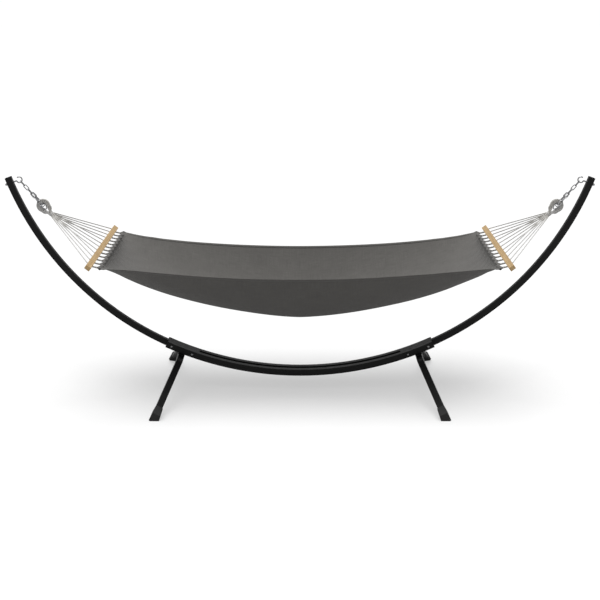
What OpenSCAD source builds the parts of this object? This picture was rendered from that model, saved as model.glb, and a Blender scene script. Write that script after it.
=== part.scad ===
// Hammock on a free-standing arc stand.
// +X runs along the stand, +Z is up, and the origin is on the ground under the middle.
// The stand is symmetric about X = 0, so every side part is drawn once for +X and mirrored.

/* [Stand] */
// Overall length of the stand, tip to tip
stand_length = 3200; // [3100:10:3300]
// Height of the rails' centreline above the ground at the middle
rail_low_z = 108; // [104:1:130]
// Radius of the two bottom rails' centreline
rail_r = 1748; // [1700:1:1790]
// Radius of the two arms' centreline
arm_r = 1636; // [1600:1:1680]
// Distance from the middle to where arm and rail share a tangent
join_x = 664; // [650:1:680]
// Distance from the middle to each rail's end
rail_end_x = 741; // [730:1:750]
// Distance from the middle to each arm's inner end
arm_end_x = 570; // [560:1:580]
// Height of the tube section of the arms and rails
tube_h = 35; // [32:1:38]
// Width of the arms' tube
arm_w = 30; // [28:1:35]
// Width of each rail's tube
rail_w = 35; // [30:1:38]
// Wall of every steel tube
wall = 1.5; // [1.2:0.1:2]

/* [Legs] */
// Distance from the middle to where the leg tube crosses under the rails
leg_x = 669.5; // [660:0.5:680]
// Side of the square leg tube
leg_w = 35; // [32:1:36]
// How far the legs lean outwards from the vertical, in degrees
leg_lean = 28.2; // [26:0.1:29]
// Height of the leg tube's centreline where it crosses under the rails
leg_cross_z = 197; // [194:1:198]
// Half length of the flat stretch under the rails
leg_flat = 124; // [110:1:135]
// Radius of the bend in the leg tube, on its centreline
leg_bend_r = 70; // [60:1:90]
// Slope of the splayed ends in the leg's own plane, in degrees
leg_slope = 26.9; // [25:0.1:28.5]
// Wall of the moulded foot
foot_wall = 3.5; // [3:0.5:5]
// Length of the moulded foot along the leg
foot_length = 74; // [65:1:90]

/* [Fasteners] */
// Diameter of the frame bolts, the leg bolts and the hook's shank
bolt_d = 8; // [8:0.5:9]
// Diameter of the dome heads
dome_d = 14; // [13:1:16]
// Distance from the middle to the inner frame bolt of a side
bolt_in_x = 603; // [598:1:615]
// Distance from the middle to the outer frame bolt of a side
bolt_out_x = 715; // [700:1:720]

/* [Hooks and chain] */
// Where the hook stands on the arm, as an angle about the arm's centre
hook_angle = 69.3; // [69:0.1:69.5]
// Distance from the arm's inner face to the middle of the hook's ring
hook_reach = 34; // [28:1:37]
// Radius of the hook's ring, to the middle of its wire
hook_r = 15.5; // [14:0.5:17]
// Wire of the hook's ring
hook_wire = 7; // [6:0.5:7.5]
// Slope of the chain below the horizontal, in degrees
chain_slope = 48.9; // [47:0.1:51]
// Wire of the chain
chain_wire = 5; // [4:0.5:5]
// Inside length of a chain link
link_in = 29.4; // [27:0.1:31]
// Inside width of a chain link
link_gap = 10; // [10:0.5:11]

/* [Hammock] */
// Distance from the middle to each spreader bar
bar_x = 1087; // [1080:1:1095]
// Height of the spreader bars' middle
bar_z = 821; // [815:1:830]
// Length of a spreader bar
bar_length = 1040; // [1000:1:1050]
// Depth of a spreader bar along its holes
bar_depth = 30; // [26:1:34]
// Thickness of a spreader bar
bar_thick = 22; // [18:1:26]
// Tilt of the spreader bars below the horizontal, in degrees
bar_tilt = 38; // [34:1:42]
// Number of suspension ropes on each side
rope_count = 12; // [10:1:12]
// Diameter of a suspension rope
rope_d = 6; // [5:0.5:6]
// Distance between the outermost holes of a bar
hole_span = 880; // [860:1:900]
// Distance from the middle to the cord in each end hem
hem_x = 1047; // [1044:1:1050]
// Height of the end hems
hem_z = 805; // [803:1:808]
// Sag of the cloth's long edges at the middle
edge_sag = 71; // [65:1:80]
// Sag of the cloth's centre line at the middle
belly_sag = 366; // [350:1:380]
// Half width of the cloth at the middle
cloth_half_w = 411; // [400:1:420]
// Half width of the cloth at its hems
hem_half_w = 474; // [460:1:478]

/* [Hidden] */
$fn = 48;
arc_fn = 360;
over_a = 0.1;
eps = 0.01;

// Arcs: a place on an arc is given as the angle from straight down about the arc's centre.
rail_cz = rail_low_z + rail_r;
join_a = asin(join_x / rail_r);
arm_cx = join_x - arm_r * sin(join_a);
arm_cz = rail_cz - (rail_r - arm_r) * cos(join_a);
rail_end_a = asin(rail_end_x / rail_r);
arm_in_a = asin((arm_end_x - arm_cx) / arm_r);
arm_tip_a = asin((stand_length / 2 - arm_cx) / (arm_r + tube_h / 2));
rail_y = (arm_w + rail_w) / 2;
stack_y = arm_w / 2 + rail_w;
arm_color = "#1d1d1e";

// Fasteners
bolt_hole = bolt_d + 0.6;
thread_d = bolt_d + 0.04;
thread_out = 3;
rivet_d = bolt_hole + 2.6;
rivet_h = 13;
bolt_end = 1;
bore_gap = 0.4;
dome_h = 5;
washer_d = 17;
washer_t = 1.6;
nut_d = 14.4;
nut_t = 6.5;
fit_gap = 0.2;
seat_gap = 0.1;

// Legs: u runs along Y and w up the leaning plane, from the middle of the flat stretch.
leg_a = atan(leg_x / (rail_cz - leg_cross_z));
bend_u = leg_flat + leg_bend_r * sin(leg_slope);
bend_w = -leg_bend_r * (1 - cos(leg_slope));
bend_steps = 6;
leg_tilt = leg_lean - leg_a;
leg_drop = norm([leg_x, rail_cz - leg_cross_z]) - rail_r;
saddle_l = 124;
saddle_w = 38;
saddle_gap = 0.4;
leg_bolt_y = rail_y;
leg_head_z = -leg_drop - leg_w / 2 / cos(leg_tilt) - dome_d / 2 * tan(leg_tilt) - seat_gap;
leg_bolt_l = rivet_h + bolt_end - tube_h / 2 - leg_head_z;

// Feet: the tube's underside reaches the ground under the foot's plumb end, at foot_y.
bend_z = leg_cross_z / cos(leg_lean) + bend_w;
foot_y = bend_u + (bend_z - leg_w / 2 / cos(leg_slope)) / tan(leg_slope);
foot_w = leg_w + 2 * foot_wall;
foot_top = (foot_y - bend_u) / cos(leg_slope) - foot_length;
foot_x = leg_x + leg_cross_z * tan(leg_lean) - leg_w / 2 / cos(leg_slope) * sin(leg_lean);
foot_taper = 12;
lip = 1;
sole = 8;
pad_l = 12;
pad_t = 1;
pocket_gap = 0.02;
leg_run = (bend_z - leg_w / 2 * (cos(leg_slope) + tan(leg_lean))) / sin(leg_slope) - sole;

// Hook
hook_c = [arm_cx + (arm_r - tube_h / 2 - hook_reach) * sin(hook_angle),
    arm_cz - (arm_r - tube_h / 2 - hook_reach) * cos(hook_angle)];
hook_open = 68;
hook_out = 13;

// Chain: s is the distance from the middle of the hook's ring down the chain.
play = 0.3;
wire_r = chain_wire / 2;
pitch = link_in - play;
wide_gap = 14;
top_s = hook_r - hook_wire / 2 - play - wire_r;
pair_y = 3.7;
pair_s = top_s + 2 * pitch + wire_r + link_in - wide_gap / 2
    + sqrt(pow(wide_gap / 2 - wire_r - play, 2) - pow(pair_y, 2));
strand = 3 * link_in + chain_wire - 2 * play;
spread_a = 15;
strand_end = [pair_s + strand * cos(spread_a), pair_y + strand * sin(spread_a)];
corner = (link_gap / 2 - wire_r - play) / sqrt(2);
cross_s = strand_end[0] + corner;
cross_in = 2 * (strand_end[1] - corner + link_gap / 2);

// Thimble and rope eye: flat teardrops, round at the chain's end
eye_r = 13.5;
thimble_t = 2.5;
thimble_w = 15;
eye_s = cross_s - link_gap / 2 - chain_wire - play + eye_r;
eye_point = 23;
tip_r = 2;
arc_steps = 32;
wrap_r = 39;
wrap_end_r = 12;
wrap_end_s = 41;
wrap_w = 13;
binding_l = 12;
binding_d = 28;
neck_s = eye_s + wrap_end_s + wrap_end_r + 4;

// Suspension ropes, spreader bar and lacing
hole_d = rope_d + 0.8;
hole_pitch = hole_span / (rope_count - 1);
layers = 4;
rope_sides = 8;
layer_gap = rope_d + 0.3;
column_gap = 1.65 * rope_d;
rope_gap = 0.4;
entry = bar_depth / 2 + rope_d / 2 + rope_gap;
tail = bar_depth / 2 + 4;
lace_d = 5;
hem_d = 8;
lace_gap = hem_d + 1;
exit_x = bar_x - (tail + rope_gap) * cos(bar_tilt);
exit_z = bar_z - (tail + rope_gap) * sin(bar_tilt);
lace_a = atan2(exit_z - hem_z, exit_x - hem_x);
lace_in = norm([exit_x - hem_x, exit_z - hem_z]) - lace_d + hem_d / 2 + rope_gap;

// Cloth grid
cloth_t = 3;
cloth_x = hem_x - hem_d / 2 - lace_d - 1;
nx = 32;
ny = 16;
flare = 8;
belly_power = 2.6;
belly_rise = 1.5;
belly_fullness = 0.545;

module on_side(side)
    mirror([side < 0 ? 1 : 0, 0, 0])
        children();

// Puts a child on the chain line of the +X side: its X runs down the chain, its Y to the rear.
module on_chain(s = 0)
    translate([hook_c[0], 0, hook_c[1]])
        rotate([0, 180 - chain_slope, 0])
            mirror([0, 0, 1])
                translate([s, 0, 0])
                    children();

// A solid bar of height h and width w along an arc about Y, from angle a0 to a1.
module arc_bar(cx, cz, r, a0, a1, y, h, w)
    translate([cx, y, cz])
        rotate([90, 0, 0])
            rotate([0, 0, a0 - 90])
                rotate_extrude(angle = a1 - a0, $fn = arc_fn)
                    translate([r - h / 2, -w / 2])
                        square([h, w]);

module arc_tube(cx, cz, r, a0, a1, y, w)
    difference() {
        arc_bar(cx, cz, r, a0, a1, y, tube_h, w);
        arc_bar(cx, cz, r, a0 - over_a, a1 + over_a, y, tube_h - 2 * wall, w - 2 * wall);
    }

// Puts a child at an angle on an arc, with its Z pointing at the arc's centre.
module at_arc(cx, cz, r, a, y = 0)
    translate([cx + r * sin(a), y, cz - r * cos(a)])
        rotate([0, -a, 0])
            children();

function bolt_z(x) = rail_cz - sqrt(rail_r * rail_r - x * x);

module at_bolts(sides = [1, -1])
    for (side = sides)
        for (x = [bolt_in_x, bolt_out_x])
            translate([side * x, 0, bolt_z(x)])
                rotate([90, 0, 0])
                    children();

module at_leg_bolts()
    for (side = [1, -1])
        for (y = [-leg_bolt_y, leg_bolt_y])
            on_side(side)
                at_arc(0, rail_cz, rail_r, leg_a, y)
                    children();

module arm(side)
    color(arm_color)
        on_side(side)
            difference() {
                arc_tube(arm_cx, arm_cz, arm_r, arm_in_a, arm_tip_a, 0, arm_w);
                at_bolts([1])
                    cylinder(h = 2 * arm_w, d = bolt_hole, center = true);
                at_arc(arm_cx, arm_cz, arm_r, hook_angle)
                    cylinder(h = 2 * tube_h, d = bolt_hole, center = true);
            }

module rail(y)
    color(arm_color)
        difference() {
            arc_tube(0, rail_cz, rail_r, -rail_end_a, rail_end_a, y, rail_w);
            at_bolts()
                cylinder(h = 4 * rail_w, d = bolt_hole, center = true);
            at_leg_bolts()
                translate([0, 0, -tube_h])
                    cylinder(h = tube_h, d = rivet_d + bore_gap);
        }

// The leg's own plane leans outwards; its X is the tube's width and its Z points up the lean.
module leg_plane(side)
    on_side(side)
        translate([leg_x, 0, leg_cross_z])
            rotate([0, -leg_lean, 0])
                children();

// One half of the leg's outline, off its centreline by the amount given: flat, bend, straight run
function leg_line(off, run) = concat(
    [for (a = [0:leg_slope / bend_steps:leg_slope + eps])
        [leg_flat + (leg_bend_r + off) * sin(a), (leg_bend_r + off) * cos(a) - leg_bend_r]],
    [[bend_u + run * cos(leg_slope) + off * sin(leg_slope),
        bend_w - run * sin(leg_slope) + off * cos(leg_slope)]]);
function flipped(line) = [for (i = [len(line) - 1:-1:0]) [-line[i][0], line[i][1]]];

module leg_bar(w, run)
    rotate([90, 0, 90])
        linear_extrude(w, center = true) {
            top = leg_line(w / 2, run);
            bottom = leg_line(-w / 2, run);
            polygon(concat(flipped(top), top, [for (i = [len(bottom) - 1:-1:0]) bottom[i]],
                [for (p = bottom) [-p[0], p[1]]]));
        }

module leg(side)
    color(arm_color)
        difference() {
            leg_plane(side)
                leg_bar(leg_w, leg_run);
            leg_plane(side)
                leg_bar(leg_w - 2 * wall, leg_run + 1);
            at_leg_bolts()
                translate([0, 0, -3 * tube_h])
                    cylinder(h = 3 * tube_h, d = bolt_hole);
        }

// A wedge between the rails' underside and the leg tube, which lean differently.
module leg_saddle(side)
    color(arm_color)
        difference() {
            intersection() {
                on_side(side)
                    at_arc(0, rail_cz, rail_r, leg_a)
                        translate([-saddle_w / 2, -saddle_l / 2, -tube_h])
                            cube([saddle_w, saddle_l, tube_h / 2 - saddle_gap]);
                leg_plane(side)
                    translate([-saddle_w, -saddle_l, leg_w / 2 + pocket_gap])
                        cube([2 * saddle_w, 2 * saddle_l, tube_h]);
            }
            at_leg_bolts()
                translate([0, 0, -3 * tube_h])
                    cylinder(h = 3 * tube_h, d = bolt_hole);
        }

// The rear end of a leg: Y runs down the straight stretch from the end of its bend.
module on_leg_end(side)
    leg_plane(side)
        translate([0, bend_u, bend_w])
            rotate([-leg_slope, 0, 0])
                children();

module leg_block(w, from, length)
    on_leg_end(1)
        translate([-w / 2, from, -w / 2])
            cube([w, length, w]);

// A moulded sleeve over the leg's end, tapered at its mouth, plumb at its outer end and flat below.
module foot(side, end)
    color("#262627")
        on_side(side)
            mirror([0, end < 0 ? 1 : 0, 0])
                difference() {
                    intersection() {
                        hull() {
                            leg_block(leg_w + 2 * lip, foot_top, lip);
                            leg_block(foot_w, foot_top + foot_taper, foot_length);
                            translate([foot_x - foot_w / cos(leg_lean) / 2, foot_y - pad_l, 0])
                                cube([foot_w / cos(leg_lean), pad_l, pad_t]);
                        }
                        cube([stand_length / 2, foot_y, foot_length + tube_h]);
                    }
                    leg_block(leg_w + 2 * pocket_gap, 0, leg_run + pocket_gap);
                }

// End plugs: a lid the size of the tube and a stem inside it
plug_lid = 3;
plug_stem = 14;
module arc_plug(cx, cz, r, a, out, y, w) {
    lid = out * plug_lid / r * 180 / PI;
    stem = -out * plug_stem / r * 180 / PI;
    arc_bar(cx, cz, r, min(a, a + lid), max(a, a + lid), y, tube_h, w);
    arc_bar(cx, cz, r, min(a, a + stem), max(a, a + stem), y,
        tube_h - 2 * wall - fit_gap, w - 2 * wall - fit_gap);
}

module arm_tip_plugs()
    color("#141414")
        for (side = [1, -1])
            on_side(side)
                arc_plug(arm_cx, arm_cz, arm_r, arm_tip_a, 1, 0, arm_w);

module arm_inner_plugs()
    color("#141414")
        for (side = [1, -1])
            on_side(side)
                arc_plug(arm_cx, arm_cz, arm_r, arm_in_a, -1, 0, arm_w);

module rail_end_plugs()
    color("#141414")
        for (side = [1, -1])
            for (y = [-rail_y, rail_y])
                on_side(side)
                    arc_plug(0, rail_cz, rail_r, rail_end_a, 1, y, rail_w);

module dome_head(d, h)
    intersection() {
        cylinder(h = h, d = d);
        translate([0, 0, h - (d * d / 4 + h * h) / (2 * h)])
            sphere(r = (d * d / 4 + h * h) / (2 * h));
    }

module washer()
    difference() {
        cylinder(h = washer_t, d = washer_d);
        translate([0, 0, -1])
            cylinder(h = washer_t + 2, d = bolt_d + bore_gap);
    }

module hex_nut()
    difference() {
        cylinder(h = nut_t, d = nut_d, $fn = 6);
        translate([0, 0, -1])
            cylinder(h = nut_t + 2, d = thread_d);
    }

module frame_bolts()
    color("silver")
        at_bolts() {
            translate([0, 0, stack_y])
                dome_head(dome_d, dome_h);
            translate([0, 0, -stack_y - washer_t - nut_t - thread_out])
                cylinder(h = 2 * stack_y + washer_t + nut_t + thread_out + eps, d = bolt_d);
        }

module frame_washers()
    color("silver")
        at_bolts()
            translate([0, 0, -stack_y - washer_t])
                washer();

module frame_nuts()
    color("silver")
        at_bolts()
            translate([0, 0, -stack_y - washer_t - nut_t])
                hex_nut();

// Leg bolts run square to the rails, from under the leg tube into a rivet nut in the rail.
module leg_bolts()
    color("silver")
        at_leg_bolts() {
            translate([0, 0, leg_head_z])
                mirror([0, 0, 1])
                    dome_head(dome_d, dome_h);
            translate([0, 0, leg_head_z - eps])
                cylinder(h = leg_bolt_l, d = bolt_d);
        }

module leg_rivet_nuts()
    color("silver")
        at_leg_bolts()
            difference() {
                translate([0, 0, -tube_h / 2 + fit_gap])
                    cylinder(h = rivet_h, d = rivet_d);
                translate([0, 0, -tube_h])
                    cylinder(h = 2 * tube_h, d = thread_d);
            }

// An open ring on a threaded shank that passes through the arm.
module hook(side)
    color("silver")
        on_side(side)
            at_arc(arm_cx, arm_cz, arm_r, hook_angle) {
                translate([0, 0, tube_h / 2 + hook_reach])
                    rotate([90, 0, 0])
                        rotate([0, 0, hook_open - 90])
                            rotate_extrude(angle = 360 - hook_open)
                                translate([hook_r, 0])
                                    circle(d = hook_wire);
                translate([0, 0, -tube_h / 2 - hook_out])
                    cylinder(h = tube_h + hook_out + hook_reach - hook_r, d = bolt_d);
            }

module hook_washers()
    color("silver")
        for (side = [1, -1])
            on_side(side)
                at_arc(arm_cx, arm_cz, arm_r, hook_angle)
                    translate([0, 0, -tube_h / 2 - washer_t - seat_gap])
                        washer();

module hook_nuts()
    color("silver")
        for (side = [1, -1])
            on_side(side)
                at_arc(arm_cx, arm_cz, arm_r, hook_angle)
                    translate([0, 0, -tube_h / 2 - washer_t - nut_t - 2 * seat_gap])
                        hex_nut();

// A chain link in its own XY plane: its upper wire's middle is at the origin, and it runs along X.
module chain_link(inside, gap) {
    bend = (gap + chain_wire) / 2;
    straight = inside - gap;
    for (end = [0, 1])
        translate([bend + end * straight, 0, 0])
            rotate([0, 0, 90 - end * 180])
                rotate_extrude(angle = 180)
                    translate([bend, 0])
                        circle(d = chain_wire);
    for (y = [-bend, bend])
        translate([bend, y, 0])
            rotate([0, 90, 0])
                cylinder(h = straight, d = chain_wire);
}

// Links 1 and 2: the first stands across the hook's ring, the second lies in its plane.
module chain_top(side)
    color("silver")
        on_side(side) {
            on_chain(top_s)
                chain_link(link_in, link_gap);
            on_chain(top_s + pitch)
                rotate([90, 0, 0])
                    chain_link(link_in, link_gap);
        }

// Link 3 carries two strands, which pass each side of the eye to one long link through it.
module chain_loop(side)
    color("silver")
        on_side(side) {
            on_chain(top_s + 2 * pitch)
                chain_link(link_in, wide_gap);
            for (end = [1, -1])
                on_chain(pair_s)
                    mirror([0, end < 0 ? 1 : 0, 0])
                        translate([0, pair_y, 0])
                            rotate([0, 0, spread_a])
                                for (i = [0:2])
                                    translate([i * pitch, 0, 0])
                                        rotate([i % 2 == 0 ? 90 : 0, 0, 0])
                                            chain_link(link_in, link_gap);
            on_chain(cross_s)
                translate([0, -cross_in / 2 - wire_r, 0])
                    rotate([0, 0, 90])
                        chain_link(cross_in, link_gap);
        }

// A flat teardrop: a circle of radius r and a smaller one of radius r2 at a distance, joined.
function arc_points(x, r, from, to, steps) =
    [for (i = [0:steps])
        let (a = from + (to - from) * i / steps)
            [x + r * cos(a), r * sin(a)]];
module teardrop(r, r2, distance) {
    a = 90 - asin((r - r2) / distance);
    polygon(concat(arc_points(0, r, a, 360 - a, arc_steps), arc_points(distance, r2, -a, a, arc_steps / 4)));
}

module flat_on_chain(s, w)
    on_chain(s)
        rotate([90, 0, 0])
            linear_extrude(w, center = true)
                children();

module thimble(side)
    color("silver")
        on_side(side)
            flat_on_chain(eye_s, thimble_w)
                difference() {
                    teardrop(eye_r + thimble_t, tip_r + thimble_t, eye_point);
                    teardrop(eye_r, tip_r, eye_point);
                }

module rope_eye(side)
    color("ivory")
        on_side(side)
            flat_on_chain(eye_s, wrap_w)
                difference() {
                    teardrop(wrap_r, wrap_end_r, wrap_end_s);
                    teardrop(eye_r + thimble_t + fit_gap, tip_r + thimble_t + fit_gap, eye_point);
                }

// The point where the ropes leave the neck, and the first point of rope i there
neck = [hook_c[0] - neck_s * cos(chain_slope), hook_c[1] - neck_s * sin(chain_slope)];
fan_a = atan2(neck[1] - bar_z, neck[0] - bar_x);
function layer_of(i) = i % layers - (layers - 1) / 2;
function column_of(i) = floor(i / layers) - (rope_count / layers - 1) / 2;
function fan_point(l) = [neck[0] - l * cos(fan_a), 0, neck[1] - l * sin(fan_a)];
function rope_start(i) = fan_point(binding_l + 1)
    + layer_gap * layer_of(i) * [-sin(fan_a), 0, cos(fan_a)]
    + [0, column_gap * column_of(i), 0];
function hole_y(i) = (i - (rope_count - 1) / 2) * hole_pitch;
function rope_bend(i) = [bar_x + entry * cos(bar_tilt), hole_y(i), bar_z + entry * sin(bar_tilt)];
function rope_tail(i) = [bar_x - tail * cos(bar_tilt), hole_y(i), bar_z - tail * sin(bar_tilt)];

// Slides point p along direction d to the plane through q with normal n
function slide(p, d, q, n) = p + d * (((q - p) * n) / (d * n));
function unit(v) = v / norm(v);

// A tube along three points, mitred at the middle one
module bent_tube(p0, p1, p2, r) {
    d0 = unit(p1 - p0);
    d1 = unit(p2 - p1);
    side = unit(cross(d0, d1));
    up = cross(d0, side);
    ring0 = [for (k = [0:rope_sides - 1])
        p0 + r * (cos(k * 360 / rope_sides) * side + sin(k * 360 / rope_sides) * up)];
    ring1 = [for (p = ring0) slide(p, d0, p1, unit(d0 + d1))];
    ring2 = [for (p = ring1) slide(p, d1, p2, d1)];
    walls = [for (ring = [0, 1])
        for (k = [0:rope_sides - 1])
            [ring * rope_sides + k, (ring + 1) * rope_sides + k,
                (ring + 1) * rope_sides + (k + 1) % rope_sides, ring * rope_sides + (k + 1) % rope_sides]];
    ends = [[for (k = [0:rope_sides - 1]) k], [for (k = [rope_sides - 1:-1:0]) 2 * rope_sides + k]];
    polyhedron(points = concat(ring0, ring1, ring2), faces = concat(walls, ends));
}

module rod(from, to, d) {
    v = to - from;
    translate(from)
        rotate([0, acos(v[2] / norm(v)), atan2(v[1], v[0])])
            cylinder(h = norm(v), d = d);
}

module neck_binding(side)
    color("ivory")
        on_side(side)
            rod(fan_point(0), fan_point(binding_l), binding_d);

// Each rope runs straight from the neck to its hole, bends there and passes through the bar.
module ropes(side)
    color("ivory")
        on_side(side)
            for (i = [0:rope_count - 1])
                bent_tube(rope_start(i), rope_bend(i), rope_tail(i), rope_d / 2);

module at_bar()
    translate([bar_x, 0, bar_z])
        rotate([0, -bar_tilt, 0])
            children();

module spreader_bar(side)
    color("burlywood")
        on_side(side)
            at_bar()
                difference() {
                    translate([-bar_depth / 2, -bar_length / 2, -bar_thick / 2])
                        cube([bar_depth, bar_length, bar_thick]);
                    for (i = [0:rope_count - 1])
                        translate([0, hole_y(i), 0])
                            rotate([0, 90, 0])
                                cylinder(h = 2 * bar_depth, d = hole_d, center = true);
                }

// One loop of rope per hole, from the bar round the cord in the hem.
module lacing(side)
    color("ivory")
        on_side(side)
            for (i = [0:rope_count - 1])
                translate([exit_x, hole_y(i), exit_z])
                    rotate([0, 180 - lace_a, 0])
                        rotate([90, 0, 0])
                            lace_loop();

module lace_loop() {
    bend = (lace_gap + lace_d) / 2;
    straight = lace_in - lace_gap;
    for (end = [0, 1])
        translate([lace_d / 2 + bend + end * straight, 0, 0])
            rotate([0, 0, 90 - end * 180])
                rotate_extrude(angle = 180)
                    translate([bend, 0])
                        circle(d = lace_d);
    for (y = [-bend, bend])
        translate([lace_d / 2 + bend, y, 0])
            rotate([0, 90, 0])
                cylinder(h = straight, d = lace_d);
}

module hem_cord(side)
    color("dimgray")
        on_side(side)
            translate([hem_x, 0, hem_z])
                rotate([90, 0, 0])
                    cylinder(h = 2 * hem_half_w, d = hem_d, center = true);

// The cloth's middle surface at lengthwise share t (-1 to 1) and crosswise share v (-1 to 1):
// the long edges hang in a shallow arc, and the middle falls steeply from the hems to a long belly.
function edge_drop(t) = edge_sag * (1 - t * t);
function belly_drop(t) = belly_sag * pow(1 - pow(abs(t), belly_rise), belly_fullness);
function cloth_half(t) = cloth_half_w + (hem_half_w - cloth_half_w) * pow(abs(t), flare);
function cloth_drop(t, v) = edge_drop(t) + (belly_drop(t) - edge_drop(t)) * (1 - pow(abs(v), belly_power));
function cloth_point(t, v, dz) = [cloth_x * t, cloth_half(t) * v, hem_z - cloth_drop(t, v) + dz];
function grid_id(layer, i, j) = (layer * (nx + 1) + i) * (ny + 1) + j;

module hammock_cloth()
    color("dimgray")
        polyhedron(
            points = [for (dz = [-cloth_t / 2, cloth_t / 2])
                for (i = [0:nx])
                    for (j = [0:ny])
                        cloth_point(sin(180 * i / nx - 90), 2 * j / ny - 1, dz)],
            faces = concat(
                [for (i = [0:nx - 1])
                    for (j = [0:ny - 1])
                        each [[grid_id(0, i, j), grid_id(0, i + 1, j), grid_id(0, i, j + 1)],
                            [grid_id(0, i + 1, j), grid_id(0, i + 1, j + 1), grid_id(0, i, j + 1)],
                            [grid_id(1, i, j), grid_id(1, i, j + 1), grid_id(1, i + 1, j)],
                            [grid_id(1, i + 1, j), grid_id(1, i, j + 1), grid_id(1, i + 1, j + 1)]]],
                [for (i = [0:nx - 1])
                    each [[grid_id(0, i, 0), grid_id(1, i, 0), grid_id(1, i + 1, 0), grid_id(0, i + 1, 0)],
                        [grid_id(0, i + 1, ny), grid_id(1, i + 1, ny), grid_id(1, i, ny), grid_id(0, i, ny)]]],
                [for (j = [0:ny - 1])
                    each [[grid_id(0, 0, j + 1), grid_id(1, 0, j + 1), grid_id(1, 0, j), grid_id(0, 0, j)],
                        [grid_id(0, nx, j), grid_id(1, nx, j), grid_id(1, nx, j + 1), grid_id(0, nx, j + 1)]]]));

arm(-1);  // left_arm
arm(1);  // right_arm
rail(-rail_y);  // front_rail
rail(rail_y);  // rear_rail
leg(-1);  // left_leg
leg(1);  // right_leg
leg_saddle(-1);  // left_leg_saddle
leg_saddle(1);  // right_leg_saddle
foot(-1, -1);  // front_left_foot
foot(1, -1);  // front_right_foot
foot(-1, 1);  // rear_left_foot
foot(1, 1);  // rear_right_foot
arm_tip_plugs();
arm_inner_plugs();
rail_end_plugs();
frame_bolts();
frame_washers();
frame_nuts();
leg_bolts();
leg_rivet_nuts();
hook(-1);  // left_hook
hook(1);  // right_hook
hook_washers();
hook_nuts();
chain_top(-1);  // left_chain_top
chain_top(1);  // right_chain_top
chain_loop(-1);  // left_chain_loop
chain_loop(1);  // right_chain_loop
thimble(-1);  // left_thimble
thimble(1);  // right_thimble
rope_eye(-1);  // left_rope_eye
rope_eye(1);  // right_rope_eye
neck_binding(-1);  // left_neck_binding
neck_binding(1);  // right_neck_binding
ropes(-1);  // left_ropes
ropes(1);  // right_ropes
spreader_bar(-1);  // left_spreader_bar
spreader_bar(1);  // right_spreader_bar
lacing(-1);  // left_lacing
lacing(1);  // right_lacing
hem_cord(-1);  // left_hem_cord
hem_cord(1);  // right_hem_cord
hammock_cloth();
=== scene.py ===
"""Hammock on an arc stand: the looks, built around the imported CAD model.

Lengths are in metres, in the CAD model's own frame: +X along the stand, +Z up, and the origin
on the ground under the middle. Side parts are worked out for +X and mirrored with `side`.
"""
import math

import bpy
import numpy as np
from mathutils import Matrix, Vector, noise


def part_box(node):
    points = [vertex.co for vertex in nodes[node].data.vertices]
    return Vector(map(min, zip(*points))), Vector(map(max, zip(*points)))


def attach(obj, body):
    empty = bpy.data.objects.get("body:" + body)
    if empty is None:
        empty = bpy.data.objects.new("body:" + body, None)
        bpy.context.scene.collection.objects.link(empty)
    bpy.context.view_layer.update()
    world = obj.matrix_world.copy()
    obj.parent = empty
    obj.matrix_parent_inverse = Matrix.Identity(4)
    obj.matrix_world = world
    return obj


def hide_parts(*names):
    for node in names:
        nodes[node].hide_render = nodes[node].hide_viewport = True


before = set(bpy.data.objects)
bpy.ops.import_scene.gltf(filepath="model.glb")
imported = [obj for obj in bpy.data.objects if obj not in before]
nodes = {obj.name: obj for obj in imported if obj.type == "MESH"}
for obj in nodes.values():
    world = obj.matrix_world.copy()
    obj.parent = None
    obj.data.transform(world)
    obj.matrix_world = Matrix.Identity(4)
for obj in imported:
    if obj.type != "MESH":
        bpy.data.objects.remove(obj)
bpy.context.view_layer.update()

SIDES = {"left": -1, "right": 1}

# Hammock, as in the CAD source
CHAIN_SLOPE = math.radians(48.9)
THIMBLE_R = 0.016
ROPES = 12
HOLE_PITCH = 0.88 / (ROPES - 1)
ROPE_D = 0.006
LAYERS = 4
LAYER_GAP = 0.0063
COLUMN_GAP = 0.0099
BINDING_L = 0.012
BAR_TILT = math.radians(38)
BAR_DEPTH = 0.030
ENTRY = BAR_DEPTH / 2 + ROPE_D / 2 + 0.0004
TAIL = BAR_DEPTH / 2 + 0.004
LACE_D = 0.005
EDGE_SAG = 0.071
BELLY_SAG = 0.366
BELLY_RISE = 1.5
BELLY_FULLNESS = 0.545
BELLY_POWER = 2.6
CLOTH_HALF_W = 0.411
HEM_HALF_W = 0.474
FLARE = 8
CLOTH_X = 1.037

# Ropes
ROPE_SIDES = 12
STRANDS = 3
LAY = 3.4              # length of one turn of a rope's strands, in diameters
GROOVE = 0.16          # depth of the grooves between strands, as a share of the radius
ROPE_BEND = 0.006

# The rope eye round the thimble
EYE_ROPE_D = 0.0071
EYE_LAY = 3.0
EYE_LAYERS = 3
EYE_LAYER_GAP = 0.0069
EYE_STEPS = 32         # points round one turn
EYE_GAP = 0.0004       # from the thimble to the first layer
EYE_BULGE = 0.0026     # how far each layer stands out from the one inside it, near the neck
EYE_BEND = 0.008
NECK_X = 0.047         # from the middle of the thimble to the neck
NECK_OFF = 0.0036      # from the middle of the neck to the first layer
NECK_LAYER_GAP = 0.0031
NECK_PINCH = 0.8       # how much closer the two columns are in the neck

# The twine round the neck
WHIP_D = 0.0022
WHIP_FILL = 1.06       # its thickness, as a share of its pitch
WHIP_R = 0.0128
WHIP_TURNS = 7
WHIP_STEPS = 28
WHIP_TAPER = 0.10      # how much thinner the winding is at its ends
WHIP_SINK = 0.35       # how deep the core lies under the twine's middle, in its diameters

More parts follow.
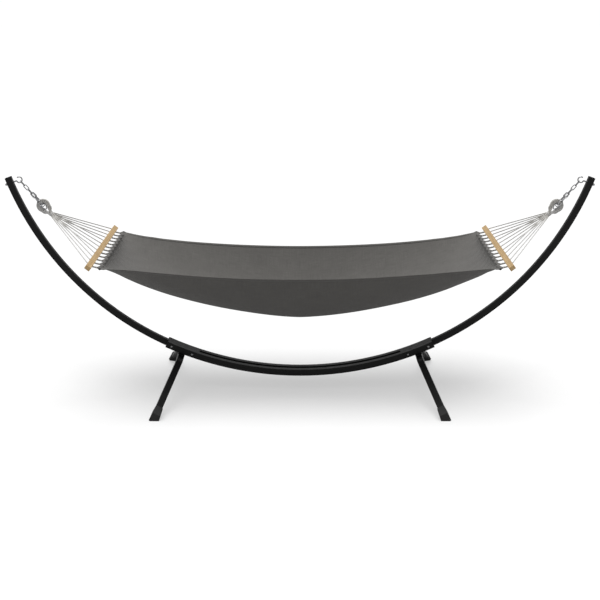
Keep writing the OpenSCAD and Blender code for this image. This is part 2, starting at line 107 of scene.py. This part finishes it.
# Lacing
LACE_STEPS = 24
LACE_START = 0.003     # how far inside the end of the rope's tail a lace starts
LACE_BACK = 0.002
LACE_PROUD = 0.0006    # how far a lace stands out of the sleeve that it goes through
LACE_SPREAD = 0.0018   # from the middle of a loop to either strand, at the bar
LACE_SKEW = 0.004      # how far along the hem a loop's two strands are apart

# Cloth
CLOTH_T = 0.0014
ROWS = 320
COLUMNS = 144
SCALLOP = 0.014        # how far the hem hangs back between two laces
PUCKER = 0.0030        # height of the puckers at the laces
PUCKER_REACH = 0.06
FOLD = 0.0020          # height of the long soft folds
CREASE = 0.0032        # height of the finer creases near the ends
CREASE_AT = 0.14
CREASE_REACH = 0.16
FLAT_REACH = 0.012     # how soon the wrinkles rise behind the hem
SLEEVE_R = 0.0052
SLEEVE_TURN = (130, 95, 60, 25, -10, -45, -80, -115, -145)
FOLD_BACK = (0.002, 0.006, 0.010, 0.014, 0.018)
FOLD_GAP = 0.0017
SIDE_HEM = 0.013
SIDE_HEM_T = 0.0032
STITCH_PITCH = 0.0045
STITCH_L = 0.0034
STITCH_R = 0.00045
STITCH_IN = 0.7        # place of the side stitches, as a share of the side hem
STITCH_BACK = 0.014    # from the cloth's end to the stitches behind it

# Studio
LENS = 78
CAMERA_AT = (0, -6.994, 2.348)
CAMERA_DOWN = 14.67
FLOOR_REACH = 40
FLOOR = 0.39           # how much light the floor gives back
FLOOR_LIFT = 0.455     # how much lighter it shows
STUDIO = 0.5           # how bright the studio lights the object
BACKDROP = 1.02        # and how bright it shows
SOFTBOX = 3.3
SOFTBOX_ANGLE = 56
SOFTBOX_TILT = (6, -4)


# ---------------------------------------------------------------- materials

class Shader:
    """A Principled material and short ways to wire the nodes before it."""

    def __init__(self, name, **settings):
        self.material = bpy.data.materials.new(name)
        self.material.use_nodes = True
        self.tree = self.material.node_tree
        self.principled = self.tree.nodes["Principled BSDF"]
        for socket, value in settings.items():
            self.principled.inputs[socket.replace("_", " ")].default_value = value

    def add(self, kind, inputs=None, **attributes):
        made = self.tree.nodes.new(kind)
        for key, value in attributes.items():
            setattr(made, key, value)
        for key, value in (inputs or {}).items():
            if isinstance(value, bpy.types.NodeSocket):
                self.tree.links.new(value, made.inputs[key])
            else:
                made.inputs[key].default_value = value
        return made

    def place(self, kind="Object", scale=(1, 1, 1), turn=(0, 0, 0)):
        """Texture coordinates in metres, stretched by scale and turned."""
        source = self.add("ShaderNodeTexCoord").outputs[kind]
        return self.add("ShaderNodeMapping", {"Vector": source, "Scale": scale, "Rotation": turn}).outputs[0]

    def noise(self, vector, scale, detail=2.0, rough=0.5):
        made = self.add("ShaderNodeTexNoise",
                        {"Vector": vector, "Scale": scale, "Detail": detail, "Roughness": rough})
        return made.outputs["Fac"]

    def ramp(self, value, *stops):
        """stops are (position, colour or grey)."""
        made = self.add("ShaderNodeValToRGB", {"Fac": value})
        elements = made.color_ramp.elements
        while len(elements) < len(stops):
            elements.new(0.5)
        for element, (position, colour) in zip(elements, stops):
            element.position = position
            grey = (colour,) * 3 if isinstance(colour, float) else colour
            element.color = (*grey, 1)
        return made.outputs["Color"]

    def blend(self, share, a, b, mode="MIX"):
        made = self.add("ShaderNodeMix", data_type="RGBA", blend_type=mode)
        for key, value in ((0, share), (6, a), (7, b)):
            if isinstance(value, bpy.types.NodeSocket):
                self.tree.links.new(value, made.inputs[key])
            else:
                made.inputs[key].default_value = value if key == 0 else (*value, 1)
        return made.outputs[2]

    def math(self, operation, a, b=0.0):
        return self.add("ShaderNodeMath", {0: a, 1: b}, operation=operation).outputs[0]

    def set(self, socket, value):
        self.tree.links.new(value, self.principled.inputs[socket])

    def bump(self, height, distance, strength=1.0, normal=None):
        inputs = {"Height": height, "Distance": distance, "Strength": strength}
        if normal is not None:
            inputs["Normal"] = normal
        out = self.add("ShaderNodeBump", inputs).outputs[0]
        self.set("Normal", out)
        return out


def powder_coat():
    """Satin black powder coat: a fine orange peel, slightly uneven gloss."""
    s = Shader("black_powder_coat", Roughness=0.4, Specular_IOR_Level=0.2)
    where = s.place()
    s.set("Base Color", s.ramp(s.noise(where, 6, 4), (0.3, 0.005), (0.7, 0.008)))
    s.set("Roughness", s.ramp(s.noise(where, 40, 3), (0.3, 0.38), (0.7, 0.47)))
    s.bump(s.noise(where, 900, 2), 0.00008, 0.5)
    return s.material


def moulded(name, low, high, grain):
    """Matt moulded plastic or rubber with a spark-eroded grain."""
    s = Shader(name, Roughness=0.62, Specular_IOR_Level=0.3)
    where = s.place()
    s.set("Base Color", s.ramp(s.noise(where, 30, 3), (0.3, low), (0.7, high)))
    s.set("Roughness", s.ramp(s.noise(where, 120, 2), (0.3, 0.56), (0.7, 0.70)))
    s.bump(s.noise(where, grain, 3, 0.6), 0.00015, 0.6)
    return s.material


def zinc_steel():
    """Bright zinc plate with faint drawing lines and dull patches."""
    s = Shader("zinc_steel", Metallic=1.0, Roughness=0.3)
    where = s.place()
    patches = s.noise(where, 90, 4, 0.6)
    s.set("Base Color", s.ramp(patches, (0.3, (0.24, 0.245, 0.26)), (0.7, (0.42, 0.42, 0.42))))
    s.set("Roughness", s.ramp(patches, (0.3, 0.38), (0.7, 0.24)))
    s.bump(s.noise(where, 1400, 2), 0.00003, 0.4)
    return s.material


def wood():
    """Oiled light hardwood, its grain along the bar."""
    s = Shader("wood", Roughness=0.5, IOR=1.47)
    long_grain = s.place(scale=(1, 0.035, 1))
    wander = s.noise(long_grain, 60, 3, 0.55)
    rings = s.add("ShaderNodeTexWave",
                  {"Vector": s.place(scale=(1, 0.02, 0.6)), "Scale": 75, "Distortion": 5.5,
                   "Detail": 3, "Detail Scale": 1.4}, wave_type="BANDS", bands_direction="X").outputs["Fac"]
    tone = s.ramp(rings, (0.0, (0.33, 0.210, 0.088)), (0.45, (0.47, 0.325, 0.155)),
                  (1.0, (0.58, 0.415, 0.210)))
    pores = s.noise(s.place(scale=(1, 0.012, 1)), 900, 2, 0.7)
    flecks = s.ramp(pores, (0.33, 0.0), (0.45, 1.0))
    broad = s.ramp(wander, (0.3, (0.86, 0.84, 0.80)), (0.7, (1.0, 1.0, 1.0)))
    toned = s.blend(1.0, tone, broad, "MULTIPLY")
    s.set("Base Color", s.blend(flecks, (0.25, 0.145, 0.062), toned))
    s.set("Roughness", s.ramp(wander, (0.3, 0.44), (0.7, 0.56)))
    s.bump(flecks, 0.00012, 0.5, s.bump(rings, 0.0001, 0.3))
    return s.material


def cotton():
    """Off-white twisted cotton: fine yarns along the strands, painted shade in the grooves between them, and
    a soft fuzz.
    """
    s = Shader("rope", Roughness=0.9, IOR=1.4, Sheen_Weight=0.35, Sheen_Roughness=0.5)
    yarns = s.add("ShaderNodeTexWave",
                  {"Vector": s.place("UV"), "Scale": 1.0, "Distortion": 1.2, "Detail": 2},
                  wave_type="BANDS", bands_direction="DIAGONAL").outputs["Fac"]
    where = s.place()
    soft = s.ramp(s.noise(where, 150, 4, 0.6), (0.3, (0.42, 0.412, 0.40)), (0.7, (0.54, 0.535, 0.525)))
    # Painted shade: darker in the grooves between the yarns, where the bump sinks.
    lines = s.ramp(yarns, (0.1, (0.84, 0.83, 0.80)), (0.6, (1.0, 1.0, 1.0)))
    s.set("Base Color", s.blend(1.0, soft, lines, "MULTIPLY"))
    s.bump(yarns, 0.0002, 0.5, s.bump(s.noise(where, 2600, 2), 0.0001, 0.4))
    return s.material


def canvas(name, dark, light, thread=0.0011):
    """Plain-woven heavy cloth, with painted shade in the weave's hollows. Its UVs are in metres along the
    weft and the warp.
    """
    s = Shader(name, Roughness=0.92, IOR=1.4, Sheen_Weight=0.12, Sheen_Roughness=0.6)
    where = s.place("UV")
    bands = []
    for direction in ("X", "Y"):
        bands.append(s.add("ShaderNodeTexWave",
                           {"Vector": where, "Scale": 0.314 / thread / 2, "Distortion": 0.35,
                            "Detail": 2, "Detail Scale": 2},
                           wave_type="BANDS", bands_direction=direction).outputs["Fac"])
    weft, warp = bands
    check = s.math("ABSOLUTE", s.math("SUBTRACT", weft, warp))
    slubs = [s.noise(s.place("UV", scale=stretch), 260, 3, 0.6) for stretch in ((1, 0.05, 1), (0.05, 1, 1))]
    streaks = s.math("MULTIPLY", slubs[0], slubs[1])
    mottled = s.ramp(streaks, (0.14, dark), (0.38, light))
    # Painted shade: the cloth is darker in the weave's hollows, where its bump sinks.
    painted_weave_shade = s.ramp(check, (0.0, (0.82, 0.82, 0.82)), (0.6, (1.0, 1.0, 1.0)))
    worn = s.ramp(s.noise(where, 5, 4, 0.55), (0.3, (0.93, 0.93, 0.93)), (0.7, (1.04, 1.04, 1.04)))
    colour = s.blend(1.0, s.blend(1.0, mottled, painted_weave_shade, "MULTIPLY"), worn, "MULTIPLY")
    s.set("Base Color", colour)
    s.bump(check, 0.00035, 0.55, s.bump(streaks, 0.0006, 0.4))
    return s.material


def thread():
    """Dark grey sewing thread."""
    s = Shader("thread", Roughness=0.7, IOR=1.45, Sheen_Weight=0.2)
    s.set("Base Color", s.ramp(s.noise(s.place(), 700, 2), (0.3, 0.055), (0.7, 0.085)))
    return s.material


# ---------------------------------------------------------------- mesh helpers

def add_piece(name, points, faces, material, uvs=None, smooth=True):
    mesh = bpy.data.meshes.new(name)
    mesh.from_pydata([tuple(p) for p in points], [], faces)
    mesh.materials.append(material)
    if uvs is not None:
        layer = mesh.uv_layers.new(name="UVMap")
        for loop in mesh.loops:
            layer.data[loop.index].uv = uvs[loop.vertex_index]
    mesh.polygons.foreach_set("use_smooth", [smooth] * len(mesh.polygons))
    mesh.validate()
    piece = bpy.data.objects.new(name, mesh)
    bpy.context.scene.collection.objects.link(piece)
    return piece


def rounded(points, radius, steps=6):
    """The polyline with each corner turned into a curve that leaves it `radius` away or less."""
    out = [points[0]]
    for before, corner, after in zip(points, points[1:], points[2:]):
        reach = min(radius, (corner - before).length / 2.01, (after - corner).length / 2.01)
        start = corner + (before - corner).normalized() * reach
        end = corner + (after - corner).normalized() * reach
        for i in range(steps + 1):
            t = i / steps
            out.append(start * (1 - t) ** 2 + corner * 2 * t * (1 - t) + end * t * t)
    return out + [points[-1]]


def resampled(points, step):
    """The polyline cut into equal steps of about the length given."""
    line = np.array([tuple(p) for p in points])
    lengths = np.concatenate([[0], np.cumsum(np.linalg.norm(np.diff(line, axis=0), axis=1))])
    count = max(2, round(lengths[-1] / step))
    at = np.linspace(0, lengths[-1], count + 1)
    return [Vector(p) for p in np.stack([np.interp(at, lengths, line[:, k]) for k in range(3)], axis=1)]


def tube_faces(count, sides):
    """Faces of a closed tube of `count` rings, with flat ends."""
    faces = []
    for i in range(count - 1):
        for k in range(sides):
            m = (k + 1) % sides
            faces.append((i * sides + k, i * sides + m, (i + 1) * sides + m, (i + 1) * sides + k))
    faces.append(tuple(reversed(range(sides))))
    faces.append(tuple(range((count - 1) * sides, count * sides)))
    return faces


def swept(points, radius_at, sides):
    """Rings along a path, carried without twisting. radius_at(distance, angle) is the section."""
    count = len(points)
    tangents = [(points[min(i + 1, count - 1)] - points[max(i - 1, 0)]).normalized() for i in range(count)]
    across = tangents[0].orthogonal().normalized()
    verts, uvs, along = [], [], 0.0
    for i, (point, tangent) in enumerate(zip(points, tangents)):
        if i:
            along += (point - points[i - 1]).length
        across = (across - tangent * across.dot(tangent)).normalized()
        up = tangent.cross(across)
        for k in range(sides):
            angle = 2 * math.pi * k / sides
            r = radius_at(along, angle)
            verts.append(point + (across * math.cos(angle) + up * math.sin(angle)) * r)
            uvs.append((along, angle * radius_at(0, 0)))
    return verts, tube_faces(count, sides), uvs


def twisted(diameter, lay=LAY):
    """The section of a three-strand rope: three lobes that turn once in each lay."""
    turn = 2 * math.pi / (diameter * lay)

    def radius_at(along, angle):
        lobe = abs(math.cos(STRANDS / 2 * (angle - along * turn)))
        return diameter / 2 * (1 - GROOVE + GROOVE * lobe ** 0.7)

    return radius_at


def joined(parts):
    """Several (verts, faces, uvs) as one."""
    verts, faces, uvs = [], [], []
    for part_verts, part_faces, part_uvs in parts:
        start = len(verts)
        verts += part_verts
        faces += [tuple(i + start for i in face) for face in part_faces]
        uvs += part_uvs
    return verts, faces, uvs


def rope_piece(name, path, diameter, material):
    verts, faces, uvs = swept(resampled(path, diameter / 2.4), twisted(diameter), ROPE_SIDES)
    return add_piece(name, verts, faces, material, uvs)


# ---------------------------------------------------------------- frame parts

def dress(node_names, material, bevel=None):
    """Gives CAD nodes a material and, where it shows, a small bevel on their sharp edges."""
    for name in node_names:
        node = nodes[name]
        node.data.materials.clear()
        node.data.materials.append(material)
        if bevel:
            weld = node.modifiers.new("weld", "WELD")
            weld.merge_threshold = 0.00001
            edge = node.modifiers.new("bevel", "BEVEL")
            edge.width = bevel
            edge.segments = 3
            edge.limit_method = "ANGLE"
            edge.angle_limit = math.radians(35)
            smooth = node.modifiers.new("normals", "WEIGHTED_NORMAL")
            smooth.keep_sharp = False


# ---------------------------------------------------------------- hammock

def mid(node):
    low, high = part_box(node)
    return (low + high) / 2


def hole_y(i):
    return (i - (ROPES - 1) / 2) * HOLE_PITCH


def flip(point, side):
    return Vector((point[0] * side, point[1], point[2]))


class End:
    """Where the +X end's pieces are; its points are mirrored for the other end."""

    def __init__(self):
        low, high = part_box("right_thimble")
        self.eye = Vector((high.x - THIMBLE_R, 0, high.z - THIMBLE_R))
        self.chain = Vector((-math.cos(CHAIN_SLOPE), 0, -math.sin(CHAIN_SLOPE)))
        self.bar = mid("right_spreader_bar")
        self.bar.y = 0
        self.through = Vector((-math.cos(BAR_TILT), 0, -math.sin(BAR_TILT)))
        self.binding = mid("right_neck_binding")
        self.binding.y = 0
        self.hem = mid("right_hem_cord")
        self.hem.y = 0
        low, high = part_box("right_hem_cord")
        self.hem_r = (high.z - low.z) / 2
        self.fan = (self.bar - self.binding).normalized()
        self.fan_up = Vector((0, 1, 0)).cross(self.fan)


def rope_route(end, i):
    """From inside the neck binding to the far side of the bar, through hole i."""
    layer = i % LAYERS - (LAYERS - 1) / 2
    column = i // LAYERS - (ROPES / LAYERS - 1) / 2
    offset = end.fan_up * LAYER_GAP * layer + Vector((0, COLUMN_GAP * column, 0))
    start = end.binding + end.fan * (BINDING_L / 2 + 0.001) + offset
    y = Vector((0, hole_y(i), 0))
    return [start, end.bar - end.through * ENTRY + y, end.bar + end.through * TAIL + y]


def add_ropes(end, side_name, material):
    side = SIDES[side_name]
    for i in range(ROPES):
        route = [flip(p, side) for p in rope_route(end, i)]
        path = resampled(rounded(route, ROPE_BEND), ROPE_D / 2.4)
        verts, faces, uvs = swept(path, twisted(ROPE_D), ROPE_SIDES)
        piece = add_piece(f"{side_name}_rope_{i + 1}", verts, faces, material, uvs)
        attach(piece, "hammock")
        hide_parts(f"{side_name}_ropes")


def add_eye(end, side_name, material):
    """The ropes' ends laid round the thimble, three deep and two wide, into the neck."""
    side = SIDES[side_name]
    up = Vector((0, 1, 0)).cross(end.chain)
    same = 1 if end.fan_up.dot(up) > 0 else -1
    parts = []
    for layer in range(EYE_LAYERS):
        radius = THIMBLE_R + EYE_GAP + EYE_ROPE_D / 2 + EYE_LAYER_GAP * layer
        neck_off = NECK_OFF + NECK_LAYER_GAP * layer
        lean = math.acos((radius - neck_off) / NECK_X)
        for column in (-0.5, 0.5):
            y = Vector((0, column * EYE_ROPE_D, 0))
            loop = []
            for k in range(EYE_STEPS + 1):
                a = lean + (2 * math.pi - 2 * lean) * k / EYE_STEPS
                loop.append(end.eye + end.chain * radius * math.cos(a) + up * radius * math.sin(a) + y)
            legs = []
            for s, last in ((1, loop[0]), (-1, loop[-1])):
                tip = end.eye + end.chain * NECK_X + up * neck_off * s + y * NECK_PINCH
                swell = (last + tip) / 2 + (end.chain + up * s) * EYE_BULGE * layer
                inner = end.binding + end.fan_up * neck_off * s * same + y * NECK_PINCH
                legs.append([swell, tip, inner])
            route = rounded(legs[0][::-1] + loop + legs[1], EYE_BEND)
            path = resampled([flip(p, side) for p in route], EYE_ROPE_D / 2.6)
            parts.append(swept(path, twisted(EYE_ROPE_D, EYE_LAY), ROPE_SIDES))
    verts, faces, uvs = joined(parts)
    piece = add_piece(f"{side_name}_eye_ropes", verts, faces, material, uvs)
    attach(piece, "hammock")
    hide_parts(f"{side_name}_rope_eye")


def add_whipping(end, side_name, material):
    """Twine wound tight round the neck, over a soft core that fills the bundle."""
    side = SIDES[side_name]
    across = Vector((0, 1, 0))
    start = end.binding - end.fan * (WHIP_TURNS * WHIP_D / 2)
    count = WHIP_TURNS * WHIP_STEPS
    path = []
    for k in range(count + 1):
        a = 2 * math.pi * k / WHIP_STEPS
        out = across * math.cos(a) + end.fan_up * math.sin(a)
        swell = 1 - WHIP_TAPER * abs(2 * k / count - 1) ** 3
        path.append(start + end.fan * (WHIP_D * k / WHIP_STEPS) + out * WHIP_R * swell)
    coil = swept([flip(p, side) for p in path], twisted(WHIP_D * WHIP_FILL), 8)
    core_path = [flip(start + end.fan * (WHIP_TURNS * WHIP_D * k / 4), side) for k in range(5)]
    core = swept(core_path, lambda along, angle: WHIP_R - WHIP_D * WHIP_SINK, 24)
    verts, faces, uvs = joined([coil, core])
    piece = add_piece(f"{side_name}_neck_whipping", verts, faces, material, uvs)
    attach(piece, "hammock")
    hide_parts(f"{side_name}_neck_binding")


def add_lacing(end, side_name, material):
    """A loop from each hole of the bar, through slits in the sleeve and round the hem cord."""
    side = SIDES[side_name]
    exit_point = end.bar + end.through * (TAIL - LACE_START)
    toward = end.hem - exit_point
    reach = toward.length
    toward.normalize()
    up = Vector((0, 1, 0)).cross(toward)
    radius = SLEEVE_R - LACE_D / 2 + LACE_PROUD
    spread = up * LACE_SPREAD
    lean = math.acos((radius - LACE_SPREAD) / reach)
    parts = []
    for i in range(ROPES):
        y = Vector((0, hole_y(i), 0))
        loop = []
        for k in range(LACE_STEPS + 1):
            a = math.pi - lean - (2 * math.pi - 2 * lean) * k / LACE_STEPS
            skew = Vector((0, LACE_SKEW * (k / LACE_STEPS - 0.5), 0))
            loop.append(end.hem + toward * radius * math.cos(a) + up * radius * math.sin(a) + y + skew)
        first = exit_point + y - toward * LACE_BACK
        route = [first + spread] + loop + [first - spread]
        path = resampled([flip(p, side) for p in route], LACE_D / 2.6)
        parts.append(swept(path, twisted(LACE_D), 10))
    verts, faces, uvs = joined(parts)
    piece = add_piece(f"{side_name}_lacing_loops", verts, faces, material, uvs)
    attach(piece, "hammock")
    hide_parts(f"{side_name}_lacing")


def add_hem_cord(end, side_name, material):
    """The cord that the lacing pulls on, in the sleeve at the cloth's end."""
    side = SIDES[side_name]
    path = [flip(end.hem + Vector((-scallop(y), y, 0)), side)
            for y in np.linspace(-HEM_HALF_W - 0.003, HEM_HALF_W + 0.003, 2 * COLUMNS + 1)]
    piece = rope_piece(f"{side_name}_hem_rope", path, 2 * end.hem_r, material)
    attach(piece, "hammock")
    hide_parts(f"{side_name}_hem_cord")


# ---------------------------------------------------------------- cloth

def scallop(y):
    """How far the cloth's end hangs back from the line of the laces: an arc between each two."""
    i = min(max(round(y / HOLE_PITCH + (ROPES - 1) / 2), 0), ROPES - 1)
    share = min(abs(y - hole_y(i)) / (HOLE_PITCH / 2), 1)
    return SCALLOP * (1 - (1 - share) ** 2)


def smooth_cloth(t, v):
    """The hanging cloth, as in the CAD source, at shares -1 to 1 of its length and its width."""
    half = CLOTH_HALF_W + (HEM_HALF_W - CLOTH_HALF_W) * abs(t) ** FLARE
    edge = EDGE_SAG * (1 - t * t)
    belly = BELLY_SAG * max(1 - abs(t) ** BELLY_RISE, 0) ** BELLY_FULLNESS
    drop = edge + (belly - edge) * (1 - abs(v) ** BELLY_POWER)
    return Vector((CLOTH_X * t, half * v, end.hem.z - drop))


def wrinkles(point, away):
    """How far the cloth stands off its smooth shape: puckers at the laces and long soft folds."""
    pucker = PUCKER * math.exp(-away / PUCKER_REACH) * math.cos(2 * math.pi * (point.y / HOLE_PITCH + 0.5))
    slant = noise.noise(Vector((point.x * 1.5 + 3, point.y * 7.0 - abs(point.x) * 3.0, 1.7)))
    fine = noise.noise(Vector((point.x * 6.0, point.y * 16.0 + abs(point.x) * 9.0, 4.2)))
    near = math.exp(-((away - CREASE_AT) / CREASE_REACH) ** 2)
    settled = 1 - math.exp(-away / FLAT_REACH)
    return settled * (pucker + FOLD * slant + CREASE * near * fine)


def cloth_place(t, v):
    """A point of the cloth between its hems, drawn out at each lace, and its distance from the hem."""
    point = smooth_cloth(t, v)
    away = (point - smooth_cloth(math.copysign(1, t), v)).length
    point.x -= math.copysign(scallop(point.y) * math.exp(-away / PUCKER_REACH), t)
    return point, away


def row_normal(rows, i, j):
    along = rows[min(i + 1, len(rows) - 1)][j] - rows[max(i - 1, 0)][j]
    across = rows[i][min(j + 1, COLUMNS)] - rows[i][max(j - 1, 0)]
    return along.cross(across).normalized()


def cloth_rows():
    """The cloth between its hems, wrinkled, as rows of points from the left end to the right."""
    places = []
    for i in range(ROWS + 1):
        t = math.sin(math.pi / 2 * (2 * i / ROWS - 1))
        places.append([cloth_place(t, 2 * j / COLUMNS - 1) for j in range(COLUMNS + 1)])
    rows = [[point for point, away in row] for row in places]
    return [[point + row_normal(rows, i, j) * wrinkles(point, places[i][j][1])
             for j, point in enumerate(row)] for i, row in enumerate(rows)]


def fold_point(rows, side, j, reach):
    """The point under the cloth at the distance given from its end, along column j."""
    i = 0 if side < 0 else ROWS
    step = 1 if side < 0 else -1
    while reach > 0:
        gap = (rows[i + step][j] - rows[i][j]).length
        share = min(reach / gap, 1)
        reach -= gap
        i += step
    point = rows[i - step][j].lerp(rows[i][j], share)
    return point - row_normal(rows, i, j) * FOLD_GAP


def hem_rows(end, rows, side):
    """The cloth's end: over the hem cord, round it and back under the cloth."""
    last = rows[0] if side < 0 else rows[-1]
    out = []
    for degrees in SLEEVE_TURN:
        a = math.radians(degrees)
        out.append([flip((end.hem.x - scallop(p.y) + SLEEVE_R * math.cos(a), p.y,
                          end.hem.z + SLEEVE_R * math.sin(a)), side) for p in last])
    for reach in FOLD_BACK:
        out.append([fold_point(rows, side, j, reach) for j in range(COLUMNS + 1)])
    return out


def add_cloth(end, rows, material):
    grid = hem_rows(end, rows, -1)[::-1] + rows + hem_rows(end, rows, 1)
    verts, uvs, length = [], [], 0.0
    for i, row in enumerate(grid):
        across = 0.0
        if i:
            length += (row[COLUMNS // 2] - grid[i - 1][COLUMNS // 2]).length
        for j, point in enumerate(row):
            if j:
                across += (point - row[j - 1]).length
            verts.append(point)
            uvs.append((across, length))
    width = COLUMNS + 1
    faces = [(i * width + j, (i + 1) * width + j, (i + 1) * width + j + 1, i * width + j + 1)
             for i in range(len(grid) - 1) for j in range(COLUMNS)]
    piece = add_piece("cloth", verts, faces, material, uvs)
    solid = piece.modifiers.new("thickness", "SOLIDIFY")
    solid.thickness = CLOTH_T
    solid.offset = 0
    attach(piece, "hammock")
    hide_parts("hammock_cloth")


def edge_frames(rows, edge):
    """For each row, the cloth's edge point, the way in along the cloth and the way up from it."""
    outer, inner = (0, 1) if edge < 0 else (-1, -2)
    frames = []
    for i, row in enumerate(rows):
        point = row[outer]
        inward = (row[inner] - point).normalized()
        along = rows[min(i + 1, ROWS)][outer] - rows[max(i - 1, 0)][outer]
        up = inward.cross(along).normalized() * edge
        frames.append((point, inward, up))
    return frames


def add_side_hem(rows, edge, name, material):
    """The long edge's folded hem: a flat band round the edge, fuller at its fold."""
    half = SIDE_HEM_T / 2
    section = ((SIDE_HEM, 0.7 * half), (SIDE_HEM * 0.6, half), (0.002, half), (-0.0004, 0.6 * half),
               (-0.0012, 0), (-0.0004, -0.6 * half), (0.002, -half), (SIDE_HEM * 0.6, -half),
               (SIDE_HEM, -0.7 * half))
    verts, uvs, along = [], [], 0.0
    frames = edge_frames(rows, edge)
    for i, (point, inward, up) in enumerate(frames):
        if i:
            along += (point - frames[i - 1][0]).length
        for a, b in section:
            verts.append(point + inward * a + up * b)
            uvs.append((a + 4 * b, along))
    piece = add_piece(name, verts, tube_faces(len(frames), len(section)), material, uvs)
    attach(piece, "hammock")
    return piece


def next_is_nearer(points, i, place):
    return (points[i + 1] - place).length < (points[i] - place).length


def stitched(points, ups):
    """One row of short stitches along a line of points, each with its way up."""
    line = resampled(points, STITCH_PITCH)
    nearest = 0
    parts = []
    for before, after in zip(line, line[1:]):
        middle = (before + after) / 2
        while nearest < len(points) - 1 and next_is_nearer(points, nearest, middle):
            nearest += 1
        run = (after - before).normalized() * (STITCH_L / 2)
        sink = ups[nearest] * STITCH_R
        path = [middle - run - sink, middle, middle + run - sink]
        parts.append(swept(path, lambda along, angle: STITCH_R, 6))
    return parts


def add_stitches(rows, name, material):
    """A row above and below along each long edge, and one across each end behind the hem cord."""
    parts = []
    for edge in (-1, 1):
        frames = edge_frames(rows, edge)
        for face in (-1, 1):
            line = [p + a * SIDE_HEM * STITCH_IN + u * face * (SIDE_HEM_T / 2) for p, a, u in frames]
            parts += stitched(line, [u * face for p, a, u in frames])
    for side in (-1, 1):
        line = [fold_point(rows, side, j, STITCH_BACK) for j in range(COLUMNS + 1)]
        i = 2 if side < 0 else ROWS - 2
        ups = [row_normal(rows, i, j) for j in range(COLUMNS + 1)]
        proud = CLOTH_T / 2 + STITCH_R / 2
        parts += stitched([p + u * (FOLD_GAP + proud) for p, u in zip(line, ups)], ups)
        parts += stitched([p - u * proud for p, u in zip(line, ups)], [-u for u in ups])
    verts, faces, uvs = joined(parts)
    piece = add_piece(name, verts, faces, material, uvs)
    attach(piece, "hammock")
    return piece


# ---------------------------------------------------------------- stage

def add_camera():
    data = bpy.data.cameras.new("camera")
    data.lens = LENS
    data.sensor_width = 36
    camera = bpy.data.objects.new("camera", data)
    camera.location = CAMERA_AT
    camera.rotation_euler = (math.radians(90 - CAMERA_DOWN), 0, 0)
    bpy.context.scene.collection.objects.link(camera)
    bpy.context.scene.camera = camera


def add_stage():
    """A pale floor in a white studio. Both show white, and light the object a little less."""
    mesh = bpy.data.meshes.new("floor")
    corners = [(x * FLOOR_REACH, y * FLOOR_REACH, 0) for x, y in ((-1, -1), (1, -1), (1, 1), (-1, 1))]
    mesh.from_pydata(corners, [], [(0, 1, 2, 3)])
    floor = bpy.data.objects.new("floor", mesh)
    bpy.context.scene.collection.objects.link(floor)
    s = Shader("floor", Roughness=0.95, Specular_IOR_Level=0.1, Emission_Color=(1, 1, 1, 1))
    s.set("Base Color", s.ramp(s.noise(s.place(), 3, 2), (0.3, FLOOR), (0.7, FLOOR + 0.01)))
    seen = s.add("ShaderNodeLightPath").outputs["Is Camera Ray"]
    s.set("Emission Strength", s.math("MULTIPLY", seen, FLOOR_LIFT))
    mesh.materials.append(s.material)

    world = bpy.data.worlds.new("studio")
    world.use_nodes = True
    bpy.context.scene.world = world
    tree = world.node_tree
    background = tree.nodes["Background"]
    background.inputs["Color"].default_value = (1, 1, 1, 1)
    level = tree.nodes.new("ShaderNodeMapRange")
    level.inputs["To Min"].default_value = STUDIO
    level.inputs["To Max"].default_value = BACKDROP
    seen = tree.nodes.new("ShaderNodeLightPath").outputs["Is Camera Ray"]
    tree.links.new(seen, level.inputs["Value"])
    tree.links.new(level.outputs["Result"], background.inputs["Strength"])
    bpy.context.scene.view_settings.view_transform = "Standard"

    data = bpy.data.lights.new("softbox", "SUN")
    data.energy = SOFTBOX
    data.angle = math.radians(SOFTBOX_ANGLE)
    softbox = bpy.data.objects.new("softbox", data)
    softbox.rotation_euler = (*[math.radians(tilt) for tilt in SOFTBOX_TILT], 0)
    softbox.location = (0, 0, 4)
    bpy.context.scene.collection.objects.link(softbox)


# ---------------------------------------------------------------- assembly

end = End()

add_camera()
black = powder_coat()
steel = zinc_steel()
rope = cotton()
rubber = moulded("black_rubber", 0.012, 0.018, 500)
plug = moulded("black_plastic", 0.006, 0.010, 900)

dress(["left_arm", "right_arm", "front_rail", "rear_rail", "left_leg", "right_leg",
       "left_leg_saddle", "right_leg_saddle"], black, bevel=0.003)
dress(["front_left_foot", "front_right_foot", "rear_left_foot", "rear_right_foot"],
      rubber, bevel=0.0025)
dress(["arm_tip_plugs", "arm_inner_plugs", "rail_end_plugs"], plug, bevel=0.0008)
dress(["frame_bolts", "frame_washers", "frame_nuts", "leg_bolts", "leg_rivet_nuts", "left_hook",
       "right_hook", "hook_washers", "hook_nuts", "left_chain_top", "right_chain_top",
       "left_chain_loop", "right_chain_loop", "left_thimble", "right_thimble"], steel)
dress(["left_spreader_bar", "right_spreader_bar"], wood(), bevel=0.002)

hem_cloth = canvas("hem_fabric", (0.020, 0.020, 0.019), (0.032, 0.031, 0.030))
for side_name in SIDES:
    add_ropes(end, side_name, rope)
    add_eye(end, side_name, rope)
    add_whipping(end, side_name, rope)
    add_lacing(end, side_name, rope)
    add_hem_cord(end, side_name, hem_cloth)

rows = cloth_rows()
grey_cloth = canvas("grey_fabric", (0.088, 0.084, 0.079), (0.112, 0.108, 0.101))
trims = [add_side_hem(rows, -1, "front_side_hem", grey_cloth),
         add_side_hem(rows, 1, "rear_side_hem", grey_cloth),
         add_stitches(rows, "stitching", thread())]
add_cloth(end, rows, grey_cloth)
add_stage()
